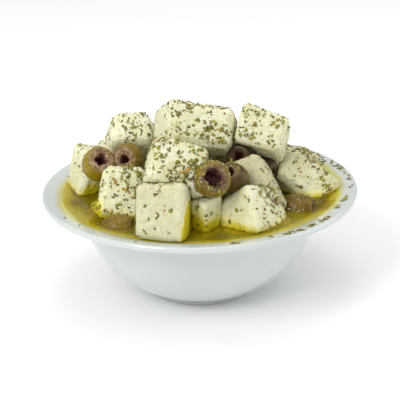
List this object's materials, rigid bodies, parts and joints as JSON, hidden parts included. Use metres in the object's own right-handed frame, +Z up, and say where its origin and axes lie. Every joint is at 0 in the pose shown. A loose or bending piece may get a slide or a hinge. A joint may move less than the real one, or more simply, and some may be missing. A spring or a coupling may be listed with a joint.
{
  "type": "bowl of cheese in oil",
  "caption": "Flared bowl of cheese cubes with zaatar and pitted olives, standing in olive oil.",
  "frame": {"origin": "middle of the bowl's foot, on the table", "axes": "+Z up; -Y is the side the picture shows; +X to the right as seen from there"},
  "size_m": [0.1908, 0.1908, 0.1234],
  "materials": {
    "bowl": "white gloss glaze",
    "oil": "clear yellow-green oil",
    "cheese": "moist white cheese",
    "olive": "oiled olive skin"
  },
  "bodies": {
    "root": {"bowl": "bowl", "cheese_back_left": "cheese", "cheese_back_middle": "cheese", "cheese_back_right": "cheese", "cheese_back_upper": "cheese", "cheese_core_back": "cheese", "cheese_core_left": "cheese", "cheese_core_right": "cheese", "cheese_core_under_left": "cheese", "cheese_front_block": "cheese", "cheese_front_narrow": "cheese", "cheese_front_right": "cheese", "cheese_left_edge": "cheese", "cheese_left_middle": "cheese", "cheese_left_tip": "cheese", "cheese_middle_leaning": "cheese", "cheese_right_back": "cheese", "cheese_right_edge": "cheese", "cheese_right_middle": "cheese", "cheese_top_large": "cheese", "cheese_top_left": "cheese", "cheese_top_right": "cheese", "oil": "oil", "olive_back_left": "olive", "olive_back_right": "olive", "olive_centre": "olive", "olive_centre_second": "olive", "olive_half_sunk_back": "olive", "olive_half_sunk_left": "olive", "olive_half_sunk_right": "olive", "olive_left": "olive", "olive_left_second": "olive", "olive_right_shade": "olive", "olive_top_shade": "olive"}
  },
  "joints": []
}
